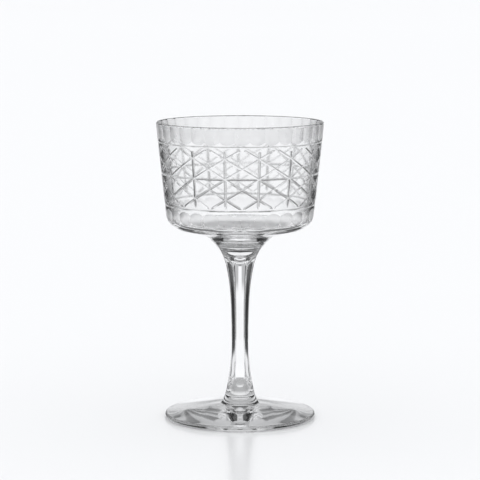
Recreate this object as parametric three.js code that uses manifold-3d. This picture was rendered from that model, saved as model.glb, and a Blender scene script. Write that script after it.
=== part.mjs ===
// A cut-glass cocktail glass: a tapered bowl with a wheel-cut lattice and flutes, on a six-sided
// stem and a round foot. Millimetres, +Z up. The origin is the middle of the foot, on the table.
// Angles round the axis are counted from the front (-Y) towards +X.

import * as THREE from 'three';
import { mergeVertices } from 'three/addons/utils/BufferGeometryUtils.js';
import Module from 'manifold-3d';

// Foot
const FOOT_RADIUS = 40.2;
const FOOT_EDGE = 2.6;            // thickness at the rounded edge
const FOOT_HEIGHT = 7.5;          // table to the stem's joint
const FOOT_JOINT_RADIUS = 10.25;  // joint with the stem
const REST_RING = 4;              // width of the flat ring that stands on the table
const FOOT_HOLLOW = 2.25;         // rise of the underside in the middle

// Stem
const STEM_LENGTH = 91.25;
const STEM_JOINT_RADIUS = 19.5;   // joint with the bowl
const TOP_FLARE = 8;              // length of the flare's lip under the bowl
const TOP_FLARE_ANGLE = 58.75;    // degrees from upright, where it meets the bowl
const SHOULDER_RADIUS = 7.5;      // where the flare turns into the slim part
const SHOULDER_DROP = 16.25;      // bowl joint down to the shoulder
const SHOULDER_ANGLE = 12;
const SHOULDER_LENGTH = 5.25;     // how far the shoulder's lean is held upwards
const NECK_LENGTH = 10;           // and downwards
const WAIST_RADIUS = 4.6;
const WAIST_DROP = 53.75;         // bowl joint down to the waist
const SLIM_LENGTH_UP = 18.5;      // how far the stem stays slim from its waist
const SLIM_LENGTH_DOWN = 27;
const BASE_FLARE = 1.25;
const BASE_FLARE_ANGLE = 64;
const FACETS = 6;
const FACET_TOP_DROP = 11.5;      // bowl joint down to the facets' upper ends
const FACET_BASE_RISE = 9.5;      // foot joint up to their lower ends
const FACET_TOP_RUN_OUT = 5;      // length of a facet's rounded end
const FACET_BASE_RUN_OUT = 4.5;
const FACET_SINK = 0.05;          // edges between facets, under the round blank

// Bowl
const BOWL_HEIGHT = 60;           // joint to rim
const RIM_RADIUS = 44.6;
const RIM_THICKNESS = 1.5;
const BASE_RADIUS = 38.65;        // where the lines of wall and underside would meet
const BASE_RISE = 4.5;
const BASE_CORNER = 9.25;         // fillet between wall and underside
const WALL = 2.25;                // wall thickness low on the bowl
const FLOOR = 4;                  // thickness over the stem
const FLOOR_DISH = 3;             // rise of the floor from its middle to the wall
const FLOOR_CURVE = 140;          // radius of the dish
const FLOOR_CORNER = 7;

// Wheel cuts on the bowl
const RIM_FLUTES = 35;
const RIM_FLUTE_LENGTH = 9.25;
const RIM_FLUTE_RUN_OUT = 3.5;
const RIM_FLUTE_TURN = 6.3;       // degrees from the front to an edge between two flutes
const BASE_FLUTES = 30;
const BASE_FLUTE_TOP = 15;        // above the bowl's joint
const BASE_FLUTE_FOOT = 6;
const BASE_FLUTE_RUN_OUT = 3.5;
const BASE_FLUTE_FADE = 4.5;      // run-out at their lower ends
const FLUTE_SINK = 0.12;          // edges between flutes, under the blank's surface
const LATTICE_REPEATS = 15;
const LATTICE_TURN = 13.5;        // degrees from the front to an upright cut
const LATTICE_MIDDLE = 33.15;     // height of the lattice's middle above the bowl's joint
const LATTICE_ROW = 10.5;         // height that a slanting cut climbs in one repeat
const LATTICE_ROWS = 3;
const CUT_WIDTH = 1.25;           // V cuts, at the surface
const CUT_DEPTH = 0.4;
const CUT_OVERRUN = 0.3;          // how far a cut's sides are drawn on above the surface
const LATTICE_SINK = 0.05;        // flats between the cuts, under the blank's surface

// Smoothness
const STEPS_PER_REPEAT = 4;       // flats of the round blank in one lattice repeat
const STEM_SEGMENTS = 36;
const FOOT_SEGMENTS = 48;
const FLARE_STEPS = 8;            // for each of the stem's three curves
const RUN_OUT_STEPS = 4;
const ARC_SAG = 0.08;             // how far a facet of a fillet may stray from its arc
const EDGE_ROUND = 0.46;          // rounding of a rim or edge, as a share of its thickness
const CLEARANCE = 1.2;            // how far cutting bodies reach beyond a blank, as a share of its radius
const LEAD = 0.25;                // from the end of a cut to where its cutting body stands clear

const wasm = await Module();
wasm.setup();

const rad = THREE.MathUtils.degToRad;
const bowlSegments = LATTICE_REPEATS * STEPS_PER_REPEAT;
const repeatAngle = 360 / LATTICE_REPEATS;

// An outline through corners given as [radius, height, fillet].
function outline(corners) {
  return corners.flatMap(([r, z, fillet = 0], i) => {
    const corner = new THREE.Vector2(r, z);
    if (!fillet) return [corner];
    const [before, after] = [corners[i - 1], corners[i + 1]]
      .map(([nr, nz]) => new THREE.Vector2(nr, nz).sub(corner));
    const half = before.angleTo(after) / 2;
    const room = Math.min(before.length(), after.length());
    const reach = Math.min(fillet / Math.tan(half), room);
    const start = before.setLength(reach).add(corner);
    const end = after.setLength(reach).add(corner);
    const middle = start.clone().add(end).multiplyScalar(0.5).sub(corner);
    const centre = middle.setLength(reach / Math.cos(half)).add(corner);
    const from = start.clone().sub(centre).angle();
    const turn = end.clone().sub(centre).angle() - from;
    const sweep = turn - 2 * Math.PI * Math.round(turn / (2 * Math.PI));
    const facet = 2 * Math.acos(1 - ARC_SAG / start.distanceTo(centre));
    const steps = Math.ceil(Math.abs(sweep) / facet);
    return Array.from({ length: steps + 1 }, (_, k) => (
      start.clone().rotateAround(centre, sweep * k / steps)));
  });
}

// Radius of an outline at a height, where its heights run upwards.
function radiusAt(points, z) {
  const i = Math.max(1, points.findIndex((p) => p.y >= z));
  const [a, b] = [points[i - 1], points[i]];
  return THREE.MathUtils.mapLinear(z, a.y, b.y, a.x, b.x);
}

// A body turned round the Z axis, with one corner of its section at the angle `turn`.
function revolve(points, segments, turn) {
  return new THREE.LatheGeometry(points, segments, rad(turn)).rotateX(Math.PI / 2);
}

function solid(geometry) {
  geometry.deleteAttribute('normal');
  geometry.deleteAttribute('uv');
  const merged = mergeVertices(geometry, 1e-5);
  return new wasm.Manifold(new wasm.Mesh({
    numProp: 3,
    vertProperties: Float32Array.from(merged.attributes.position.array),
    triVerts: Uint32Array.from(merged.index.array),
  }));
}

function geometryOf(body) {
  const { vertProperties, triVerts } = body.getMesh();
  const geometry = new THREE.BufferGeometry();
  geometry.setAttribute('position', new THREE.BufferAttribute(vertProperties, 3));
  geometry.setIndex(new THREE.BufferAttribute(triVerts, 1));
  return geometry;
}

// What flat cuts round a blank leave: a body of `count` flat sides, which lie `sink` under the
// blank at their edges between heights `low` and `high`, and rise out of it over a run-out at
// either end. A run-out of 0 lets the cut run off that end.
function flatSided(blank, { count, turn, sink, low, high, lowRunOut, highRunOut, steps }) {
  const reach = Math.max(...blank.map((p) => p.x)) * CLEARANCE;
  const flat = Math.cos(Math.PI / count);
  const lift = (z, end, runOut) => (runOut ? Math.max(0, 1 - Math.abs(z - end) / runOut) : 0);
  const climb = (from, to, count) => Array.from({ length: count }, (_, k) => (
    THREE.MathUtils.lerp(from, to, k / count)));
  const heights = [
    ...climb(low, low + lowRunOut, lowRunOut ? RUN_OUT_STEPS : 0),
    ...climb(low + lowRunOut, high - highRunOut, steps),
    ...climb(high - highRunOut, high, highRunOut ? RUN_OUT_STEPS : 0),
    high,
  ];
  const side = heights.map((z) => {
    const t = Math.max(lift(z, low, lowRunOut), lift(z, high, highRunOut));
    const r = radiusAt(blank, z);
    const depth = (r - (r - sink) * flat) * (1 - t * t);
    return new THREE.Vector2((r - depth) / flat, z);
  });
  const bottom = Math.min(blank[0].y, low) - 1;
  const top = Math.max(blank.at(-1).y, high) + 1;
  const points = [new THREE.Vector2(0, bottom)];
  if (lowRunOut) points.push(new THREE.Vector2(reach, bottom), new THREE.Vector2(reach, low - LEAD));
  points.push(...side);
  if (highRunOut) points.push(new THREE.Vector2(reach, high + LEAD), new THREE.Vector2(reach, top));
  else points.push(new THREE.Vector2(side.at(-1).x, top));
  points.push(new THREE.Vector2(0, top));
  return solid(revolve(points, count, turn));
}

// The wall of the bowl's blank, joint to rim, before any cut.
const bowlWall = outline([
  [STEM_JOINT_RADIUS, 0],
  [BASE_RADIUS, BASE_RISE, BASE_CORNER],
  [RIM_RADIUS, BOWL_HEIGHT],
]);

const wallLean = Math.atan2(RIM_RADIUS - BASE_RADIUS, BOWL_HEIGHT - BASE_RISE);

// The triangles between the cuts in half a repeat, from an upright cut at x = 0 to where slanting
// cuts cross at x = half. Heights are from the lattice's middle. Each corner is followed by
// whether the edge that starts there is a cut.
function latticeTriangles(half) {
  const row = LATTICE_ROW;
  const lastNode = (LATTICE_ROWS - 1) / 2;
  const triangles = [];
  for (let k = -lastNode; k <= lastNode; k += 1) {
    const [node, over, under] = [[0, k * row], [half, (k + 0.5) * row], [half, (k - 0.5) * row]];
    const level = [half, k * row];
    if (k === 0) triangles.push([node, 1, level, 0, over, 1], [node, 1, under, 0, level, 1]);
    else triangles.push([node, 1, under, 0, over, 1]);
    if (k < lastNode) triangles.push([node, 1, over, 1, [0, (k + 1) * row], 1]);
  }
  const border = LATTICE_ROWS / 2 * row;
  triangles.push([[0, lastNode * row], 1, [half, border], 1, [0, border], 1]);
  triangles.push([[0, -border], 1, [half, -border], 1, [0, -lastNode * row], 1]);
  return triangles.map((t) => [0, 2, 4].map((i) => ({ at: new THREE.Vector2(...t[i]), cut: t[i + 1] })));
}

// The flat left in the middle of such a triangle, and the V cuts' sloping sides round it, as
// polygons of [x, height, depth].
function latticeFaces(triangle) {
  const lines = triangle.map(({ at, cut }, i) => {
    const along = triangle[(i + 1) % 3].at.clone().sub(at).normalize();
    const inward = new THREE.Vector2(-along.y, along.x);
    return { along, from: at.clone().addScaledVector(inward, cut ? CUT_WIDTH / 2 : 0) };
  });
  const inset = lines.map(({ along, from }, i) => {
    const before = lines[(i + 2) % 3];
    const t = from.clone().sub(before.from).cross(along) / before.along.cross(along);
    return before.from.clone().addScaledVector(before.along, t);
  });
  const sides = triangle.flatMap(({ at, cut }, i) => {
    const next = (i + 1) % 3;
    const to = triangle[next].at;
    if (!cut) return [];
    return [[[at.x, at.y, CUT_DEPTH], [to.x, to.y, CUT_DEPTH],
      [inset[next].x, inset[next].y, 0], [inset[i].x, inset[i].y, 0]]];
  });
  return [inset.map(({ x, y }) => [x, y, 0]), ...sides];
}

// The part of a polygon on one side of x = limit.
function trim(polygon, limit, side) {
  return polygon.flatMap((a, i) => {
    const b = polygon[(i + 1) % polygon.length];
    const [da, db] = [side * (a[0] - limit), side * (b[0] - limit)];
    const kept = da >= -1e-9 ? [a] : [];
    if (da * db >= -1e-12) return kept;
    const t = da / (da - db);
    return [...kept, a.map((value, n) => THREE.MathUtils.lerp(value, b[n], t))];
  });
}

// What the lattice's cuts leave: a body that follows the cut wall between the two border rings and
// stands clear of the bowl above and below them.
function latticed() {
  const half = radiusAt(bowlWall, LATTICE_MIDDLE) * rad(repeatAngle) / 2;
  const border = LATTICE_ROWS / 2 * LATTICE_ROW;
  const reach = RIM_RADIUS * CLEARANCE;
  const positions = [];
  const place = ([x, y, depth], turn) => {
    const r = radiusAt(bowlWall, LATTICE_MIDDLE + y) - LATTICE_SINK - depth * Math.cos(wallLean);
    const z = LATTICE_MIDDLE + y + depth * Math.sin(wallLean);
    const angle = rad(turn + x / half * repeatAngle / 2);
    return [r * Math.sin(angle), -r * Math.cos(angle), z];
  };
  const fan = (corners) => corners.slice(2).forEach((corner, i) => {
    positions.push(...corners[0], ...corners[i + 1], ...corner);
  });
  const strips = STEPS_PER_REPEAT / 2;
  const faces = latticeTriangles(half).flatMap(latticeFaces).flatMap((face) => (
    Array.from({ length: strips }, (_, k) => (
      trim(trim(face, half * k / strips, 1), half * (k + 1) / strips, -1)))));
  const rise = CUT_OVERRUN + CUT_DEPTH;
  const lip = CUT_WIDTH / 2 / CUT_DEPTH * rise;
  const stand = (z, angle) => [reach * Math.sin(rad(angle)), -reach * Math.cos(rad(angle)), z];
  const ends = [-1, 1].map((side) => {
    const edge = side * (border + lip);
    return { side, edge, z: LATTICE_MIDDLE + edge, far: side < 0 ? -1 : BOWL_HEIGHT + 1 };
  });
  for (let i = 0; i < LATTICE_REPEATS; i += 1) {
    const turn = LATTICE_TURN + i * repeatAngle;
    for (const face of faces.filter((f) => f.length > 2)) {
      fan(face.map((corner) => place(corner, turn)));
      fan(face.map(([x, y, depth]) => place([-x, y, depth], turn)).reverse());
    }
    for (let k = 0; k < STEPS_PER_REPEAT; k += 1) {
      const xs = [k, k + 1].map((n) => 2 * half * n / STEPS_PER_REPEAT);
      for (const { side, edge, z, far } of ends) {
        const columns = xs.map((x) => {
          const angle = turn + x / half * repeatAngle / 2;
          return [place([x, side * border, CUT_DEPTH], turn), place([x, edge, -CUT_OVERRUN], turn),
            stand(z, angle), stand(far, angle), [0, 0, far]];
        });
        const [left, right] = side > 0 ? columns : columns.reverse();
        for (let n = 0; n < 4; n += 1) {
          const quad = [left[n], right[n], right[n + 1], left[n + 1]];
          fan(n < 3 ? quad : quad.slice(0, 3));
        }
      }
    }
  }
  const geometry = new THREE.BufferGeometry();
  geometry.setAttribute('position', new THREE.Float32BufferAttribute(positions, 3));
  return solid(geometry);
}

function bowl() {
  const rimRound = RIM_THICKNESS * EDGE_ROUND;
  const blank = solid(revolve(outline([
    [0, 0],
    [STEM_JOINT_RADIUS, 0],
    [BASE_RADIUS, BASE_RISE, BASE_CORNER],
    [RIM_RADIUS, BOWL_HEIGHT, rimRound],
    [RIM_RADIUS - RIM_THICKNESS, BOWL_HEIGHT, rimRound],
    [BASE_RADIUS - WALL, FLOOR + FLOOR_DISH, FLOOR_CORNER],
    [(BASE_RADIUS - WALL) / 2, FLOOR, FLOOR_CURVE],
    [0, FLOOR],
  ]), bowlSegments, LATTICE_TURN));
  const rimFlutes = flatSided(bowlWall, {
    count: RIM_FLUTES,
    turn: RIM_FLUTE_TURN,
    sink: FLUTE_SINK,
    low: BOWL_HEIGHT - RIM_FLUTE_LENGTH,
    high: BOWL_HEIGHT,
    lowRunOut: RIM_FLUTE_RUN_OUT,
    highRunOut: 0,
    steps: 2,
  });
  const baseFlutes = flatSided(bowlWall, {
    count: BASE_FLUTES,
    turn: LATTICE_TURN + 180 / BASE_FLUTES,
    sink: FLUTE_SINK,
    low: BASE_FLUTE_FOOT,
    high: BASE_FLUTE_TOP,
    lowRunOut: BASE_FLUTE_FADE,
    highRunOut: BASE_FLUTE_RUN_OUT,
    steps: 2,
  });
  return geometryOf(blank.intersect(rimFlutes).intersect(baseFlutes).intersect(latticed()));
}

// The stem hangs from the bowl's joint, so its heights are negative.
function stem() {
  const on = (point, length, angle) => new THREE.Vector2(
    point.x + length * Math.sin(rad(angle)),
    point.y + length * Math.cos(rad(angle)),
  );
  const base = new THREE.Vector2(FOOT_JOINT_RADIUS, -STEM_LENGTH);
  const waist = new THREE.Vector2(WAIST_RADIUS, -WAIST_DROP);
  const shoulder = new THREE.Vector2(SHOULDER_RADIUS, -SHOULDER_DROP);
  const top = new THREE.Vector2(STEM_JOINT_RADIUS, 0);
  const curves = [
    [base, on(base, BASE_FLARE, -BASE_FLARE_ANGLE), on(waist, -SLIM_LENGTH_DOWN, 0), waist],
    [waist, on(waist, SLIM_LENGTH_UP, 0), on(shoulder, -NECK_LENGTH, SHOULDER_ANGLE), shoulder],
    [shoulder, on(shoulder, SHOULDER_LENGTH, SHOULDER_ANGLE), on(top, -TOP_FLARE, TOP_FLARE_ANGLE), top],
  ];
  const side = curves.flatMap((points, i) => (
    new THREE.CubicBezierCurve(...points).getPoints(FLARE_STEPS).slice(i ? 1 : 0)));
  const ends = [-STEM_LENGTH, 0].map((z) => new THREE.Vector2(0, z));
  const blank = solid(revolve([ends[0], ...side, ends[1]], STEM_SEGMENTS, 0));
  return geometryOf(blank.intersect(flatSided(side, {
    count: FACETS,
    turn: 180 / FACETS,
    sink: FACET_SINK,
    low: FACET_BASE_RISE - STEM_LENGTH,
    high: -FACET_TOP_DROP,
    lowRunOut: FACET_BASE_RUN_OUT,
    highRunOut: FACET_TOP_RUN_OUT,
    steps: 18,
  })));
}

function foot() {
  const edgeRound = FOOT_EDGE * EDGE_ROUND;
  const ringInside = FOOT_RADIUS - edgeRound - REST_RING;
  return revolve(outline([
    [0, FOOT_HOLLOW],
    [ringInside / 2, FOOT_HOLLOW, ringInside],
    [ringInside, 0],
    [FOOT_RADIUS, 0, edgeRound],
    [FOOT_RADIUS, FOOT_EDGE, edgeRound],
    [FOOT_JOINT_RADIUS, FOOT_HEIGHT],
    [0, FOOT_HEIGHT],
  ]), FOOT_SEGMENTS, 0);
}

function glass(name, geometry, z) {
  const material = new THREE.MeshStandardMaterial({
    color: 0xf2f5f6,
    roughness: 0.04,
    metalness: 0,
    transparent: true,
    opacity: 0.4,
  });
  const mesh = new THREE.Mesh(geometry, material);
  mesh.name = name;
  mesh.position.z = z;
  return mesh;
}

const jointHeight = FOOT_HEIGHT + STEM_LENGTH;
const cocktailGlass = new THREE.Group();
cocktailGlass.add(
  glass('foot', foot(), 0),
  glass('stem', stem(), jointHeight),
  glass('bowl', bowl(), jointHeight),
);

export default cocktailGlass;
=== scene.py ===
"""A cut-glass cocktail glass on a white studio sweep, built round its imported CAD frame."""

import math

import bmesh
import bpy
from mathutils import Matrix, Vector


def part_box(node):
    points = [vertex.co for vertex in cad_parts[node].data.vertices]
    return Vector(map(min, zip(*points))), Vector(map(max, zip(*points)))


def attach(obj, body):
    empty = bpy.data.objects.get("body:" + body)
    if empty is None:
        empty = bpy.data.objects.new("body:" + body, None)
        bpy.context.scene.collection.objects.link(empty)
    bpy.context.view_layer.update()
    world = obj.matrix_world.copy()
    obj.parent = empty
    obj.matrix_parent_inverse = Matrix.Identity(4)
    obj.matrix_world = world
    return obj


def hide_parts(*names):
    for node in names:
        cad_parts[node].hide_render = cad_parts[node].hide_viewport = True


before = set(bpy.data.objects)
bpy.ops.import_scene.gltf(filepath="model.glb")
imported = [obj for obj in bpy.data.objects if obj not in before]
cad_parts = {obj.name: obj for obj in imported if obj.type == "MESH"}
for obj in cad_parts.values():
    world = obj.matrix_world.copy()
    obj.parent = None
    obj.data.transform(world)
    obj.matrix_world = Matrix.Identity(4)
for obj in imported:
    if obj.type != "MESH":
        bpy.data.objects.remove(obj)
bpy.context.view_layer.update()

MM = 0.001

# Heights and radii that the frame gives, in millimetres
FOOT_JOINT, BOWL_JOINT = (corner[2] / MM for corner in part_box("stem"))
RIM_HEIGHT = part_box("bowl")[1][2] / MM - BOWL_JOINT
STEM_LENGTH = BOWL_JOINT - FOOT_JOINT
FOOT_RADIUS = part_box("foot")[1][0] / MM

# Foot
FOOT_JOINT_RADIUS = 10.25
FOOT_EDGE, FOOT_EDGE_ROUND = 2.6, 1.248
REST_RING = 4
FOOT_HOLLOW = 1

# Stem, with angles in degrees from upright
STEM_JOINT_RADIUS = 19.5
TOP_FLARE, TOP_FLARE_ANGLE = 8, 58.75
SHOULDER_RADIUS, SHOULDER_DROP, SHOULDER_ANGLE = 7.5, 16.25, 12
SHOULDER_LENGTH, NECK_LENGTH = 5.25, 10
WAIST_RADIUS, WAIST_DROP = 4.6, 53.75
SLIM_LENGTH_UP, SLIM_LENGTH_DOWN = 18.5, 27
BASE_FLARE, BASE_FLARE_ANGLE = 1.25, 64
FACETS = 6
FACET_TOP_DROP, FACET_TOP_RUN_OUT = 11.5, 5
FACET_BASE_RISE, FACET_BASE_RUN_OUT = 9.5, 4.5
FACET_SINK = 0.05
FACET_HOLLOW = 14

# Bowl, with heights from its joint
RIM_RADIUS = 44.6
RIM_THICKNESS = 1.5
RIM_ROUND_HEIGHT, RIM_ROUND_DEPTH = 0.9, 0.675
BASE_RADIUS, BASE_RISE, BASE_CORNER = 38.65, 4.5, 9.25
WALL = 2.25
FLOOR, FLOOR_DISH, FLOOR_CURVE, FLOOR_CORNER = 4, 2.3, 140, 6
RIM_FLUTES, RIM_FLUTE_LENGTH = 35, 9.25
BASE_FLUTES, BASE_FLUTE_TOP, BASE_FLUTE_FOOT, BASE_FLUTE_FADE = 30, 15, 7.5, 4.5
FLUTE_RUN_OUT = 3.5
FLUTE_SINK = 0.1
FLUTE_HOLLOW = 120

# Lattice on the bowl
LATTICE_REPEATS, LATTICE_ROWS = 15, 3
LATTICE_MIDDLE, LATTICE_ROW = 33.15, 10.5
LATTICE_REACH = LATTICE_ROWS / 2 * LATTICE_ROW
SLANT_WIDTH, UPRIGHT_WIDTH, LEVEL_WIDTH = 1.3, 1.5, 1.1
# A cut's depth, and the share of its width that its flat floor takes
CUT_DEPTH, CUT_FLOOR = 0.28, 0.12
# The gap from a cut's tip to the lattice's edge, and the length of the ramp at its end
TOP_END, BASE_END = (1.2, 0.5), (0.2, 1.5)
# Ring cuts over and under the lattice
BORDER_WIDTH, BORDER_DEPTH, BORDER_GAP = 0.8, 0.22, 0.9

# Columns round the bowl, which line up with every repeat of its three patterns
COLUMNS = 420
COLUMN = 2 * math.pi / COLUMNS
LATTICE_TURN = math.radians(13.5)
RIM_FLUTE_SHIFT = 8
RIM_FLUTE_TURN = LATTICE_TURN - RIM_FLUTE_SHIFT * COLUMN
BASE_FLUTE_TURN = LATTICE_TURN - math.pi / BASE_FLUTES

# How finely the rest is divided
ARC_STEP = math.radians(2.5)
RIM_ROUND_STEPS = 5
RIM_FLUTE_ROWS, BASE_FLUTE_ROWS = 12, 20
FACET_COLUMNS, FACET_ROWS = 24, 90
LOWER_STEM_STEPS, UPPER_STEM_STEPS = 60, 40
FOOT_COLUMNS = 240

# Least height in millimetres between a plain ring and the level where cuts start
BOWL_RING_GAP, STEM_RING_GAP = 0.1, 0.4

# Angles in degrees over which an edge is sharp
BOWL_CREASE, STEM_CREASE, FOOT_CREASE = 4.5, 8, 20

# Distances in metres that count as none on a piece
SAME_POINT, NO_LENGTH = 1e-7, 1e-8

# Distances in millimetres that count as none on the lattice, the last as a product of two
ON_EDGE, ON_LIMIT, NO_CROSSING = 1e-6, 1e-9, 1e-12

# Decimal places to which the lattice's corners are rounded, in metres
CORNER_DIGITS = 9

# Material slots: every piece has the first two, and the bowl has them all
POLISHED, JOINT, WHEEL_CUT, SATIN, INSIDE = range(5)


def outline(corners):
    """Points (radius, height) through corners given as (radius, height, fillet)."""
    points = []
    for i, (r, z, fillet) in enumerate(corners):
        corner = Vector((r, z))
        if not fillet:
            points.append(corner)
            continue
        before = (Vector(corners[i - 1][:2]) - corner).normalized()
        after = (Vector(corners[i + 1][:2]) - corner).normalized()
        half = before.angle(after) / 2
        centre = corner + (before + after).normalized() * fillet / math.sin(half)
        start = corner + before * fillet / math.tan(half)
        sweep = (start - centre).angle_signed(corner + after * fillet / math.tan(half) - centre)
        steps = math.ceil(abs(sweep) / ARC_STEP)
        for k in range(steps + 1):
            points.append(centre + Matrix.Rotation(-sweep * k / steps, 2) @ (start - centre))
    return points


def radius_at(points, z):
    """Radius of an outline at a height, where its heights run upwards."""
    for low, high in zip(points, points[1:]):
        if z <= high.y:
            break
    return low.x + (high.x - low.x) * (z - low.y) / (high.y - low.y)


def bezier(points, steps):
    """A cubic curve through its two ends, as points."""
    a, b, c, d = (Vector(p) for p in points)
    ts = [k / steps for k in range(steps + 1)]
    return [a * (1 - t) ** 3 + b * 3 * t * (1 - t) ** 2 + c * 3 * t * t * (1 - t) + d * t ** 3 for t in ts]


def wheel_cuts(blank, count, hollow, sink, low, high, low_run_out, high_run_out, columns, rows):
    """Rows of (radius, height) over one of `count` cuts round a blank, from its lower end to its upper
    one. A cut is hollow, to the wheel's radius, and lies `sink` under the blank at its edges. A run-out
    lifts it out at an end, where its first or last row is the rounded edge that this leaves."""

    def middle(r, lean):
        """Distance from the axis to the middle of a cut that meets radius r at this angle from it."""
        return r * math.cos(lean) + math.sqrt(hollow ** 2 - (r * math.sin(lean)) ** 2) - hollow

    def full_depth(r):
        return r - middle(r - sink, math.pi / count)

    def depth(z):
        t = 0
        if low_run_out:
            t = max(t, 1 - (z - low) / low_run_out)
        if high_run_out:
            t = max(t, 1 - (high - z) / high_run_out)
        return full_depth(radius_at(blank, z)) * (1 - t * t)

    def end(z, run_out, side, lean):
        r = radius_at(blank, z)
        share = min(1, (r - middle(r, lean)) / full_depth(r))
        return z + side * run_out * (1 - math.sqrt(1 - share))

    grid = []
    for row in range(rows + 1):
        line = []
        for column in range(columns):
            lean = (column / columns - 0.5) * 2 * math.pi / count
            bottom = end(low, low_run_out, 1, lean)
            top = end(high, high_run_out, -1, lean)
            z = bottom + (top - bottom) * row / rows
            r = radius_at(blank, z)
            reach = r - depth(z) + hollow
            cut = reach * math.cos(lean) - math.sqrt(hollow ** 2 - (reach * math.sin(lean)) ** 2)
            line.append((min(r, cut), z))
        grid.append(line)
    return grid


def around(line, count, turn):
    """One cut's (radius, height) row, repeated round the axis from the angle of its first column."""
    step = 2 * math.pi / (count * len(line))
    return [
        (r * math.sin(turn + i * step), -r * math.cos(turn + i * step), z)
        for i, (r, z) in enumerate(line * count)
    ]


def skin(mesh, rings, slot=POLISHED):
    """Faces between rings of points that run up the outside and down the inside. A ring of one
    point closes the end."""
    made = [[mesh.verts.new(Vector(p) * MM) for p in ring] for ring in rings]
    for a, b in zip(made, made[1:]):
        size = max(len(a), len(b))
        for i in range(size):
            j = (i + 1) % size
            corners = [a[i % len(a)], a[j % len(a)], b[j % len(b)], b[i % len(b)]]
            face = mesh.faces.new(list(dict.fromkeys(corners)))
            face.material_index = slot


def glass_piece(name, mesh, lift, materials, crease):
    """One closed piece of the glass, from a mesh that is lifted into its place."""
    bmesh.ops.remove_doubles(mesh, verts=mesh.verts[:], dist=SAME_POINT)
    bmesh.ops.dissolve_degenerate(mesh, edges=mesh.edges[:], dist=NO_LENGTH)
    bmesh.ops.translate(mesh, verts=mesh.verts[:], vec=(0, 0, lift * MM))
    data = bpy.data.meshes.new(name)
    mesh.to_mesh(data)
    mesh.free()
    data.shade_smooth()
    data.set_sharp_from_angle(angle=math.radians(crease))
    for material in materials:
        data.materials.append(material)
    piece = bpy.data.objects.new(name, data)
    bpy.context.collection.objects.link(piece)
    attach(piece, "root")
    return piece


def lattice_triangles(half):
    """Triangles between the cuts in half a repeat, from an upright cut at x = 0 to where slanting
    cuts cross at x = half, with heights from the lattice's middle. Each is its corners and the widths
    of the cuts along the edges that start there, 0 for no cut."""
    last = (LATTICE_ROWS - 1) // 2
    triangles = []
    for k in range(-last, last + 1):
        node, level = (0, k * LATTICE_ROW), (half, k * LATTICE_ROW)
        over, under = (half, (k + 0.5) * LATTICE_ROW), (half, (k - 0.5) * LATTICE_ROW)
        if k == 0:
            triangles.append(((node, level, over), (LEVEL_WIDTH, 0, SLANT_WIDTH)))
            triangles.append(((node, under, level), (SLANT_WIDTH, 0, LEVEL_WIDTH)))
        else:
            triangles.append(((node, under, over), (SLANT_WIDTH, 0, SLANT_WIDTH)))
        if k < last:
            next_node = (0, (k + 1) * LATTICE_ROW)
            triangles.append(((node, over, next_node), (SLANT_WIDTH, SLANT_WIDTH, UPRIGHT_WIDTH)))
    top, bottom = (0, last * LATTICE_ROW), (0, -last * LATTICE_ROW)
    top_edge = ((half, LATTICE_REACH), (0, LATTICE_REACH))
    bottom_edge = ((0, -LATTICE_REACH), (half, -LATTICE_REACH))
    triangles.append(((top, *top_edge), (SLANT_WIDTH, 0, UPRIGHT_WIDTH)))
    triangles.append(((*bottom_edge, bottom), (0, SLANT_WIDTH, UPRIGHT_WIDTH)))
    return triangles


def lattice_faces(corners, widths):
    """The flat in the middle of a triangle and the floors and sides of the cuts round it, as polygons
    of (x, height, depth), each with whether it belongs to a cut. Cuts stop short of the lattice's edges."""
    corners = [Vector(c) for c in corners]
    inner = [abs(abs(c.y) - LATTICE_REACH) > ON_EDGE for c in corners]

    def edge(i, share):
        """A point on an edge, moved into the triangle by a share of its cut's half width, and its course."""
        along = (corners[(i + 1) % 3] - corners[i]).normalized()
        return corners[i] + Vector((-along.y, along.x)) * widths[i] / 2 * share, along

    def meeting(i, share):
        """Where such moved edges meet by a corner."""
        (origin, along), (start, before) = edge(i, share), edge(i - 1, share)
        return start + before * ((origin - start).cross(along) / before.cross(along))

    def stop(i, at, share, ramp):
        """Where the cut along an edge stops by an outer corner: its tip, or the foot of its end ramp."""
        origin, along = edge(i, share)
        if at != i:
            origin, along = origin + corners[at] - corners[i], -along
        gap, length = TOP_END if corners[at].y > 0 else BASE_END
        return origin + along * (gap + length * ramp)

    def low(point):
        return (point.x, point.y, CUT_DEPTH)

    def flush(point):
        return (point.x, point.y, 0)

    faces = []
    flat = []
    for i in range(3):
        j = (i + 1) % 3
        if not inner[i]:
            flat.append(flush(corners[i]))
        if not widths[i]:
            if inner[i]:
                flat.append(flush(meeting(i, 1)))
            continue
        middle, floor, top = (
            [meeting(n, share) if inner[n] else stop(i, n, share, 1) for n in (i, j)]
            for share in (0, CUT_FLOOR, 1)
        )
        faces.append(([low(middle[0]), low(middle[1]), low(floor[1]), low(floor[0])], True))
        faces.append(([low(floor[0]), low(floor[1]), flush(top[1]), flush(top[0])], True))
        if not inner[i]:
            tip = flush(stop(i, i, 0, 0))
            faces.append(([tip, low(middle[0]), low(floor[0]), flush(top[0])], True))
            flat.append(tip)
        flat.append(flush(top[0]))
        if not inner[j]:
            tip = flush(stop(i, j, 0, 0))
            faces.append(([low(middle[1]), tip, flush(top[1]), low(floor[1])], True))
            flat += [flush(top[1]), tip]
    faces.append((flat, False))
    return faces


def trimmed(polygon, limit, side):
    """The part of a polygon on one side of x = limit."""
    kept = []
    for a, b in zip(polygon, polygon[1:] + polygon[:1]):
        da, db = side * (a[0] - limit), side * (b[0] - limit)
        if da >= -ON_LIMIT:
            kept.append(a)
        if da * db < -NO_CROSSING:
            t = da / (da - db)
            kept.append(tuple(p + (q - p) * t for p, q in zip(a, b)))
    return kept


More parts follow.
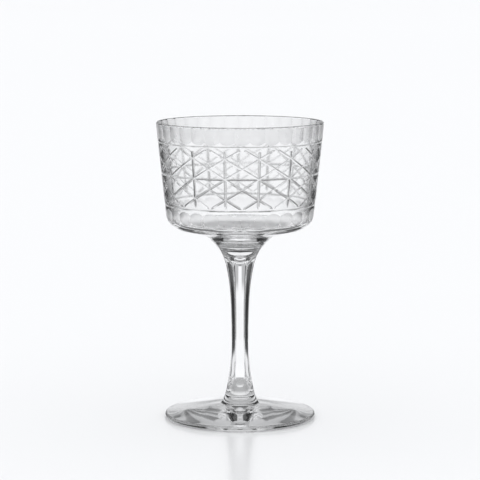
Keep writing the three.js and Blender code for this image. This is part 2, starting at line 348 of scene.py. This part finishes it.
def lattice(mesh, wall):
    """The band of the bowl's wall that the lattice is cut in, between the two border cuts."""
    lean = math.atan2(RIM_RADIUS - BASE_RADIUS, RIM_HEIGHT - BASE_RISE)
    half = radius_at(wall, LATTICE_MIDDLE) * math.pi / LATTICE_REPEATS
    strips = COLUMNS // LATTICE_REPEATS // 2

    def place(corner, turn):
        """A corner's place on the bowl, in metres."""
        x, y, depth = corner
        z = LATTICE_MIDDLE + y
        r = radius_at(wall, z) - depth * math.cos(lean)
        angle = turn + x / half * math.pi / LATTICE_REPEATS
        spot = Vector((r * math.sin(angle), -r * math.cos(angle), z + depth * math.sin(lean))) * MM
        return tuple(round(v, CORNER_DIGITS) for v in spot)

    pieces = []
    for corners, widths in lattice_triangles(half):
        for polygon, is_cut in lattice_faces(corners, widths):
            for k in range(strips):
                part = trimmed(trimmed(polygon, half * k / strips, 1), half * (k + 1) / strips, -1)
                if len(part) > 2:
                    pieces.append((part, is_cut))
    for repeat in range(LATTICE_REPEATS):
        turn = LATTICE_TURN + repeat * 2 * math.pi / LATTICE_REPEATS
        for part, is_cut in pieces:
            mirrored = [(-x, y, depth) for x, y, depth in reversed(part)]
            for polygon in (part, mirrored):
                spots = list(dict.fromkeys(place(c, turn) for c in polygon))
                if len(spots) > 2:
                    face = mesh.faces.new([mesh.verts.new(spot) for spot in spots])
                    face.material_index = WHEEL_CUT if is_cut else POLISHED


def bowl_wall():
    """The wall of the bowl's blank, joint to rim, before any cut."""
    return outline([
        (STEM_JOINT_RADIUS, 0, 0),
        (BASE_RADIUS, BASE_RISE, BASE_CORNER),
        (RIM_RADIUS, RIM_HEIGHT, 0),
    ])


def even(r, z):
    """A level ring of the bowl."""
    return around([(r, z)] * COLUMNS, 1, LATTICE_TURN)


def land(wall, z):
    """A level ring on the bowl's blank."""
    return even(radius_at(wall, z), z)


def flute_ring(line, count, turn):
    """One flute's row repeated round the bowl, with its first column where that of a level ring is."""
    ring = around(line, count, turn)
    shift = round((LATTICE_TURN - turn) / COLUMN) % len(ring)
    return ring[shift:] + ring[:shift]


def border_cut(mesh, wall, under, z, over):
    """A shallow ring cut that frames the lattice, and the wall from a ring under it to one over it."""
    half = BORDER_WIDTH / 2
    lower, upper = land(wall, z - half), land(wall, z + half)
    skin(mesh, [under, lower])
    skin(mesh, [lower, even(radius_at(wall, z) - BORDER_DEPTH, z), upper], WHEEL_CUT)
    skin(mesh, [upper, over])


def bowl_base(mesh, wall):
    """The bowl's joint, its underside, its lower flutes and the lower border cut."""
    rows = wheel_cuts(wall, BASE_FLUTES, FLUTE_HOLLOW, FLUTE_SINK, BASE_FLUTE_FOOT, BASE_FLUTE_TOP,
                      BASE_FLUTE_FADE, FLUTE_RUN_OUT, COLUMNS // BASE_FLUTES, BASE_FLUTE_ROWS)
    flutes = [flute_ring(row, BASE_FLUTES, BASE_FLUTE_TURN) for row in rows]
    underside = [even(p.x, p.y) for p in wall if p.y < BASE_FLUTE_FOOT - BOWL_RING_GAP]
    lattice_foot = LATTICE_MIDDLE - LATTICE_REACH
    skin(mesh, [[(0, 0, 0)], even(STEM_JOINT_RADIUS, 0)], JOINT)
    skin(mesh, underside + [flutes[0]])
    skin(mesh, flutes, SATIN)
    border_cut(mesh, wall, flutes[-1], lattice_foot - BORDER_GAP, land(wall, lattice_foot))


def bowl_rim(mesh, wall):
    """The upper border cut, the flutes under the rim and the rim's round, whose last ring is returned."""
    rows = wheel_cuts(wall, RIM_FLUTES, FLUTE_HOLLOW, FLUTE_SINK, RIM_HEIGHT - RIM_FLUTE_LENGTH,
                      RIM_HEIGHT - RIM_ROUND_HEIGHT, FLUTE_RUN_OUT, 0, COLUMNS // RIM_FLUTES, RIM_FLUTE_ROWS)
    flutes = [flute_ring(row, RIM_FLUTES, RIM_FLUTE_TURN) for row in rows]
    lattice_top = LATTICE_MIDDLE + LATTICE_REACH
    border_cut(mesh, wall, land(wall, lattice_top), lattice_top + BORDER_GAP, flutes[0])
    skin(mesh, flutes, SATIN)
    turns = [math.pi / 2 * k / RIM_ROUND_STEPS for k in range(RIM_ROUND_STEPS + 1)]
    rings = [flutes[-1]]
    for t in turns[1:]:
        inward, up = RIM_ROUND_DEPTH * (1 - math.cos(t)), RIM_ROUND_HEIGHT * math.sin(t)
        rounded = [(r - inward, z + up) for r, z in rows[-1]]
        rings.append(flute_ring(rounded, RIM_FLUTES, RIM_FLUTE_TURN))
    for t in reversed(turns):
        outward, down = RIM_ROUND_DEPTH * (1 - math.cos(t)), RIM_ROUND_HEIGHT * (1 - math.sin(t))
        rings.append(even(RIM_RADIUS - RIM_THICKNESS + outward, RIM_HEIGHT - down))
    skin(mesh, rings)
    return rings[-1]


def bowl_inside(mesh, rim):
    """The bowl's inside, from the last ring of its rim to the middle of its dished floor."""
    side = outline([
        (RIM_RADIUS - RIM_THICKNESS, RIM_HEIGHT - RIM_ROUND_HEIGHT, 0),
        (BASE_RADIUS - WALL, FLOOR + FLOOR_DISH, FLOOR_CORNER),
        ((BASE_RADIUS - WALL) / 2, FLOOR, FLOOR_CURVE),
        (0, FLOOR, 0),
    ])
    top, corner = side[:2]
    wall_foot = even(radius_at((corner, top), BASE_FLUTE_TOP), BASE_FLUTE_TOP)
    skin(mesh, [rim, wall_foot], INSIDE)
    skin(mesh, [wall_foot] + [even(p.x, p.y) for p in side[1:-1]] + [[(0, 0, FLOOR)]])


def bowl(glass, joint, cut, satin, inner_wall):
    wall = bowl_wall()
    mesh = bmesh.new()
    bowl_base(mesh, wall)
    lattice(mesh, wall)
    rim = bowl_rim(mesh, wall)
    bowl_inside(mesh, rim)
    piece = glass_piece("cut_bowl", mesh, BOWL_JOINT, (glass, joint, cut, satin, inner_wall), BOWL_CREASE)
    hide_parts("bowl")


def stem_side():
    """The side of the stem's blank, from the foot to the bowl."""
    base = Vector((FOOT_JOINT_RADIUS, 0))
    waist = Vector((WAIST_RADIUS, STEM_LENGTH - WAIST_DROP))
    shoulder = Vector((SHOULDER_RADIUS, STEM_LENGTH - SHOULDER_DROP))
    top = Vector((STEM_JOINT_RADIUS, STEM_LENGTH))

    def on(point, length, degrees):
        """A point further on, at an angle from upright."""
        angle = math.radians(degrees)
        return point + length * Vector((math.sin(angle), math.cos(angle)))

    lower = bezier((base, on(base, BASE_FLARE, -BASE_FLARE_ANGLE),
                    on(waist, -SLIM_LENGTH_DOWN, 0), waist), LOWER_STEM_STEPS)
    neck = bezier((waist, on(waist, SLIM_LENGTH_UP, 0),
                   on(shoulder, -NECK_LENGTH, SHOULDER_ANGLE), shoulder), UPPER_STEM_STEPS)
    flare = bezier((shoulder, on(shoulder, SHOULDER_LENGTH, SHOULDER_ANGLE),
                    on(top, -TOP_FLARE, TOP_FLARE_ANGLE), top), UPPER_STEM_STEPS)
    return lower[:-1] + neck[:-1] + flare


def stem(glass, joint):
    side = stem_side()
    low, high = FACET_BASE_RISE, STEM_LENGTH - FACET_TOP_DROP
    facet = wheel_cuts(side, FACETS, FACET_HOLLOW, FACET_SINK, low, high,
                       FACET_BASE_RUN_OUT, FACET_TOP_RUN_OUT, FACET_COLUMNS, FACET_ROWS)
    turn = -math.pi / FACETS

    def level(p):
        return around([(p.x, p.y)] * FACET_COLUMNS, FACETS, turn)

    first = [level(p) for p in side if p.y < low - STEM_RING_GAP]
    last = [level(p) for p in side if p.y > high + STEM_RING_GAP]
    mesh = bmesh.new()
    skin(mesh, [[(0, 0, 0)], first[0]], JOINT)
    skin(mesh, first + [around(row, FACETS, turn) for row in facet] + last)
    skin(mesh, [last[-1], [(0, 0, STEM_LENGTH)]], JOINT)
    piece = glass_piece("faceted_stem", mesh, FOOT_JOINT, (glass, joint), STEM_CREASE)
    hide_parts("stem")


def foot(glass, joint):
    hollow_radius = FOOT_RADIUS - FOOT_EDGE_ROUND - REST_RING
    side = outline([
        (0, FOOT_HOLLOW, 0),
        (hollow_radius / 2, FOOT_HOLLOW, hollow_radius),
        (hollow_radius, 0, 0),
        (FOOT_RADIUS, 0, FOOT_EDGE_ROUND),
        (FOOT_RADIUS, FOOT_EDGE, FOOT_EDGE_ROUND),
        (FOOT_JOINT_RADIUS, FOOT_JOINT, 0),
    ])

    def level(p):
        return around([(p.x, p.y)] * FOOT_COLUMNS, 1, 0)

    mesh = bmesh.new()
    skin(mesh, [[(0, 0, FOOT_HOLLOW)]] + [level(p) for p in side[1:]])
    skin(mesh, [level(side[-1]), [(0, 0, FOOT_JOINT)]], JOINT)
    piece = glass_piece("round_foot", mesh, 0, (glass, joint), FOOT_CREASE)
    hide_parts("foot")


def linear(code):
    """A colour from its sRGB hex value."""
    channels = [int(code[i:i + 2], 16) / 255 for i in (1, 3, 5)]
    return [c / 12.92 if c <= 0.04045 else ((c + 0.055) / 1.055) ** 2.4 for c in channels] + [1]


def add(tree, kind, settings=None, **inputs):
    """A node with its settings. Its sockets, by name or as _ and a number, are set to a value, or linked
    from an output or from another node's first output."""
    node = tree.nodes.new(kind)
    for key, value in (settings or {}).items():
        setattr(node, key, value)
    for key, value in inputs.items():
        socket = node.inputs[int(key[1:]) if key[0] == "_" else key.replace("_", " ")]
        if isinstance(value, bpy.types.Node):
            value = value.outputs[0]
        if isinstance(value, bpy.types.NodeSocket):
            tree.links.new(value, socket)
        else:
            socket.default_value = value
    return node


def new_material(name):
    material = bpy.data.materials.new(name)
    material.use_nodes = True
    material.node_tree.nodes.clear()
    return material


CLEAR = linear("#ffffff")
CRYSTAL_IOR = 1.53

# The middle of a noise pattern's values, over which roughness goes from its least to its most
NOISE_LOW, NOISE_HIGH = 0.3, 0.7


def crystal_surface(tree, relief, height, roughness):
    """Clear crystal as a material's surface, with a relief of some height in millimetres."""
    bump = add(tree, "ShaderNodeBump", Strength=1.0, Distance=height * MM, Height=relief)
    shader = add(tree, "ShaderNodeBsdfPrincipled", Base_Color=CLEAR, Roughness=roughness, IOR=CRYSTAL_IOR,
                 Transmission_Weight=1.0, Normal=bump)
    add(tree, "ShaderNodeOutputMaterial", Surface=shader)


def polished_crystal():
    """Blown crystal, polished in acid. It is clear, with the slow waves that hot glass sets in.

    They are about 13 mm long and some hundredths of a millimetre high, so edges seen through it bend.
    """
    wave_length, wave_height = 13, 0.03
    material = new_material("blown and polished crystal")
    tree = material.node_tree
    place = add(tree, "ShaderNodeTexCoord")
    waves = add(tree, "ShaderNodeTexNoise", Vector=place.outputs["Object"],
                Scale=1 / (wave_length * MM), Detail=1.0)
    crystal_surface(tree, waves, wave_height, roughness=0.0)
    return material


def wheel_cut_crystal():
    """Crystal cut with a stone wheel and only lightly polished, so the cuts are silky beside clear wall.

    The stone's grit is about 0.07 mm. That is too fine to show, so its marks are drawn 0.7 mm long.
    """
    mark_length, mark_height = 0.7, 0.006
    least, most = 0.06, 0.14
    material = new_material("wheel-cut crystal")
    tree = material.node_tree
    place = add(tree, "ShaderNodeTexCoord")
    grit = add(tree, "ShaderNodeTexNoise", Vector=place.outputs["Object"],
               Scale=1 / (mark_length * MM), Detail=2.0)
    silk = add(tree, "ShaderNodeMapRange", Value=grit, From_Min=NOISE_LOW, From_Max=NOISE_HIGH,
               To_Min=least, To_Max=most)
    crystal_surface(tree, grit, mark_height, silk)
    return material


def panel_cut_crystal():
    """Crystal ground flat in flutes by a fine stone, which leaves a soft satin with upright streaks.

    The streaks are about 0.2 mm wide. That is too fine to show, so they are drawn 2.5 mm wide, 9 mm long.
    """
    streak_width, streak_length, streak_height = 2.5, 9, 0.001
    least, most = 0.27, 0.32
    material = new_material("satin panel-cut crystal")
    tree = material.node_tree
    place = add(tree, "ShaderNodeTexCoord")
    drawn = add(tree, "ShaderNodeMapping", Vector=place.outputs["Object"],
                Scale=(1, 1, streak_width / streak_length))
    streaks = add(tree, "ShaderNodeTexNoise", Vector=drawn, Scale=1 / (streak_width * MM), Detail=1.0)
    satin = add(tree, "ShaderNodeMapRange", Value=streaks, From_Min=NOISE_LOW, From_Max=NOISE_HIGH,
                To_Min=least, To_Max=most)
    crystal_surface(tree, streaks, streak_height, satin)
    return material


def blown_inside():
    """The bowl's inside wall as blowing left it: clear, with faint ripples 6 mm long and a slight bloom.

    The bloom softens the far side's cuts, so that the near ones stand out.
    """
    ripple_length, ripple_height = 6, 0.004
    least, most = 0.08, 0.12
    material = new_material("mould-blown crystal")
    tree = material.node_tree
    place = add(tree, "ShaderNodeTexCoord")
    ripples = add(tree, "ShaderNodeTexNoise", Vector=place.outputs["Object"],
                  Scale=1 / (ripple_length * MM), Detail=1.0)
    bloom = add(tree, "ShaderNodeMapRange", Value=ripples, From_Min=NOISE_LOW, From_Max=NOISE_HIGH,
                To_Min=least, To_Max=most)
    crystal_surface(tree, ripples, ripple_height, bloom)
    return material


def fused_joint():
    """Two pieces fused hot, which leaves no surface between them, so light passes straight on."""
    material = new_material("fused glass joint")
    tree = material.node_tree
    shader = add(tree, "ShaderNodeBsdfPrincipled", Alpha=0.0)
    add(tree, "ShaderNodeOutputMaterial", Surface=shader)
    return material


# Limits past both ends of a scale of degrees, where a card has no edge
BEHIND, FRONT, DOWN, UP = -9, 190, -100, 100

# Studio cards round the glass: a level, degrees to either side from straight behind the glass, degrees
# of elevation, and how soft the edges are. Each covers those before it.
ROOM = 0.24
CARDS = (
    ("ceiling", 0.03, (BEHIND, FRONT), (20, UP), 2),
    ("overhead softbox", 0.95, (72, FRONT), (60, UP), 2),
    ("softbox behind the camera", 0.55, (95, FRONT), (19, 36), 2),
    ("table all round", 0.95, (BEHIND, FRONT), (DOWN, -14), 1.5),
    ("table in front, to either side", 0.95, (118, 152), (-30, -7.5), 1.5),
    ("side panels", 0.95, (77, 103), (-20, 10), 1.5),
    ("dark wings", 0.01, (BEHIND, 72), (2, 38), 1.5),
    ("dark sides", 0.01, (BEHIND, 50), (-14, 38), 1.5),
    ("dark table edge", 0.01, (BEHIND, 33), (-16, -8), 1.5),
    ("shaded table beside the backdrop", 0.2, (BEHIND, 33), (DOWN, -16), 2),
    ("backdrop", 0.5, (BEHIND, 20), (-10, 20), 1.5),
    ("softbox over the backdrop", 1.0, (BEHIND, 16), (20, 35), 2),
    ("top of that softbox", 0.6, (BEHIND, 11), (35, 62), 2),
    ("table close behind", 0.12, (BEHIND, 26), (DOWN, -28), 2),
    ("lit table behind", 1.1, (BEHIND, 22), (-28, -14), 1.5),
    ("far table", 1.05, (BEHIND, 12), (-16, -4), 2),
    ("lit middle of the backdrop", 1.05, (BEHIND, 4.5), (-8, 3), 2),
    ("dark band on the backdrop", 0.03, (BEHIND, 3.5), (4.5, 10), 1.2),
)

# White sweep that the glass stands on, with its size in metres and its drop in millimetres
STUDIO_WHITE, PAPER_WHITE = linear("#f9fafc"), linear("#ffffff")
SWEEP_SIZE, SWEEP_DROP = 60, 0.02
SHEEN_SHARE, SHEEN_ROUGHNESS = 0.3, 0.2
SHADE_LIFT = 0.06

# The sweep under the foot, painted with light and shade rather than lit, in millimetres from the axis, and
# levels of the painted light on it
BRIGHT_RING, BRIGHT_RING_SOFTNESS = (10, 18), 3
STEM_SHADE, STEM_SHADE_LEVELS = (5, 18), (0.48, 0.95)
FRONT_SHADE, FRONT_SHADE_LEVELS = (-32, -5), (0.8, 1.0)
SWEEP_FADE = (40, 55)

# Camera, in millimetres and degrees
SENSOR, LENS = 36, 156.95
CAMERA_AWAY, CAMERA_HEIGHT, CAMERA_PITCH = 1104.5, 243.85, 7.651

# Surfaces that light may pass before it is lost, enough for both walls, the stem and the foot
BOUNCES = 32


def between(tree, value, low, high, softness):
    """1 where a value is between two limits, with soft edges."""
    smooth = {"interpolation_type": "SMOOTHSTEP"}
    rise = add(tree, "ShaderNodeMapRange", smooth, Value=value, From_Min=low - softness,
               From_Max=low + softness)
    fall = add(tree, "ShaderNodeMapRange", smooth, Value=value, From_Min=high - softness,
               From_Max=high + softness, To_Min=1.0, To_Max=0.0)
    return add(tree, "ShaderNodeMath", {"operation": "MULTIPLY"}, _0=rise, _1=fall)


def studio():
    """The cards for light that comes through the glass or off its polished faces, and an even white for
    all else."""
    world = bpy.data.worlds.new("studio")
    bpy.context.scene.world = world
    world.use_nodes = True
    tree = world.node_tree
    tree.nodes.clear()
    where = add(tree, "ShaderNodeTexCoord")
    axes = add(tree, "ShaderNodeSeparateXYZ", Vector=where.outputs["Generated"])
    rise = add(tree, "ShaderNodeMath", {"operation": "ARCSINE"}, _0=axes.outputs["Z"])
    elevation = add(tree, "ShaderNodeMath", {"operation": "DEGREES"}, _0=rise)
    turn = add(tree, "ShaderNodeMath", {"operation": "ARCTAN2"}, _0=axes.outputs["X"], _1=axes.outputs["Y"])
    aside = add(tree, "ShaderNodeMath", {"operation": "ABSOLUTE"}, _0=turn)
    azimuth = add(tree, "ShaderNodeMath", {"operation": "DEGREES"}, _0=aside)
    level = ROOM
    for _, card_level, sides, heights, softness in CARDS:
        across = between(tree, azimuth, *sides, softness)
        upward = between(tree, elevation, *heights, softness)
        inside = add(tree, "ShaderNodeMath", {"operation": "MULTIPLY"}, _0=across, _1=upward)
        level = add(tree, "ShaderNodeMix", {"data_type": "FLOAT"}, Factor=inside, A=level, B=card_level)
    path = add(tree, "ShaderNodeLightPath")
    clear = add(tree, "ShaderNodeMath", {"operation": "MAXIMUM"}, _0=path.outputs["Is Singular Ray"],
                _1=path.outputs["Is Transmission Ray"])
    rough = add(tree, "ShaderNodeMath", {"operation": "SUBTRACT"}, _0=1.0, _1=clear)
    sheen = add(tree, "ShaderNodeMath", {"operation": "MULTIPLY"}, _0=path.outputs["Is Glossy Ray"], _1=rough)
    direct = add(tree, "ShaderNodeMath", {"operation": "MAXIMUM"}, _0=path.outputs["Is Camera Ray"],
                 _1=path.outputs["Is Diffuse Ray"])
    plain = add(tree, "ShaderNodeMath", {"operation": "MAXIMUM"}, _0=sheen, _1=direct)
    strength = add(tree, "ShaderNodeMix", {"data_type": "FLOAT"}, Factor=plain, A=level, B=1.0)
    back = add(tree, "ShaderNodeBackground", Color=STUDIO_WHITE, Strength=strength)
    add(tree, "ShaderNodeOutputWorld", Surface=back)


def sweep_under_foot(tree):
    """The sweep as the glass shows it, a glow with painted light and shade: a painted ring of light like the
    one the stem gathers, a painted strip of shade from front to back under the stem, and a painted shade over
    the front. Past the foot it gives way to the cards."""
    smooth = {"interpolation_type": "SMOOTHSTEP"}
    place = add(tree, "ShaderNodeNewGeometry")
    axes = add(tree, "ShaderNodeSeparateXYZ", Vector=place.outputs["Position"])
    length = add(tree, "ShaderNodeVectorMath", {"operation": "LENGTH"}, _0=place.outputs["Position"])
    reach = length.outputs["Value"]
    ring = between(tree, reach, BRIGHT_RING[0] * MM, BRIGHT_RING[1] * MM, BRIGHT_RING_SOFTNESS * MM)
    aside = add(tree, "ShaderNodeMath", {"operation": "ABSOLUTE"}, _0=axes.outputs["X"])
    sides = add(tree, "ShaderNodeMapRange", smooth, Value=aside,
                From_Min=STEM_SHADE[0] * MM, From_Max=STEM_SHADE[1] * MM,
                To_Min=STEM_SHADE_LEVELS[0], To_Max=STEM_SHADE_LEVELS[1])
    front = add(tree, "ShaderNodeMapRange", smooth, Value=axes.outputs["Y"],
                From_Min=FRONT_SHADE[0] * MM, From_Max=FRONT_SHADE[1] * MM,
                To_Min=FRONT_SHADE_LEVELS[0], To_Max=FRONT_SHADE_LEVELS[1])
    shade = add(tree, "ShaderNodeMath", {"operation": "MULTIPLY"}, _0=sides, _1=front)
    level = add(tree, "ShaderNodeMapRange", Value=ring, To_Min=shade, To_Max=1.0)
    # A glow, not lit, that carries the painted ring of light and the painted shade under the foot
    painted_glow = add(tree, "ShaderNodeEmission", Color=STUDIO_WHITE, Strength=level)
    gone = add(tree, "ShaderNodeBsdfTransparent")
    far = add(tree, "ShaderNodeMapRange", smooth, Value=reach,
              From_Min=SWEEP_FADE[0] * MM, From_Max=SWEEP_FADE[1] * MM)
    return add(tree, "ShaderNodeMixShader", _0=far, _1=painted_glow, _2=gone)


def satin_sweep():
    """White satin paper: matt, with a soft sheen that mirrors the stem, and a lift that keeps shade pale."""
    material = new_material("satin white sweep")
    tree = material.node_tree
    path = add(tree, "ShaderNodeLightPath")
    matt = add(tree, "ShaderNodeBsdfDiffuse", Color=PAPER_WHITE)
    sheen = add(tree, "ShaderNodeBsdfGlossy", Color=PAPER_WHITE, Roughness=SHEEN_ROUGHNESS)
    satin = add(tree, "ShaderNodeMixShader", _0=SHEEN_SHARE, _1=matt, _2=sheen)
    lift = add(tree, "ShaderNodeEmission", Color=STUDIO_WHITE, Strength=SHADE_LIFT)
    paper = add(tree, "ShaderNodeAddShader", _0=satin, _1=lift)
    through = add(tree, "ShaderNodeMath", {"operation": "MAXIMUM"}, _0=path.outputs["Is Transmission Ray"],
                  _1=path.outputs["Is Glossy Ray"])
    # Rays through or off the glass see the glow with painted light and shade under the foot instead of the
    # lit paper
    surface = add(tree, "ShaderNodeMixShader", _0=through, _1=paper, _2=sweep_under_foot(tree))
    add(tree, "ShaderNodeOutputMaterial", Surface=surface)
    return material


def white_sweep():
    bpy.ops.mesh.primitive_plane_add(size=SWEEP_SIZE, location=(0, 0, -SWEEP_DROP * MM))
    plane = bpy.context.object
    plane.name = "white_sweep"
    plane.data.materials.append(satin_sweep())


def camera():
    data = bpy.data.cameras.new("camera")
    data.sensor_width = SENSOR
    data.lens = LENS
    eye = bpy.data.objects.new("camera", data)
    eye.location = (0, -CAMERA_AWAY * MM, CAMERA_HEIGHT * MM)
    eye.rotation_euler = (math.radians(90 - CAMERA_PITCH), 0, 0)
    bpy.context.collection.objects.link(eye)
    bpy.context.scene.camera = eye


polished = polished_crystal()
joint_faces = fused_joint()
bowl(polished, joint_faces, wheel_cut_crystal(), panel_cut_crystal(), blown_inside())
stem(polished, joint_faces)
foot(polished, joint_faces)
white_sweep()
studio()
camera()
bpy.context.scene.view_settings.view_transform = "Standard"
for limit in ("max_bounces", "glossy_bounces", "transmission_bounces", "transparent_max_bounces"):
    setattr(bpy.context.scene.cycles, limit, BOUNCES)
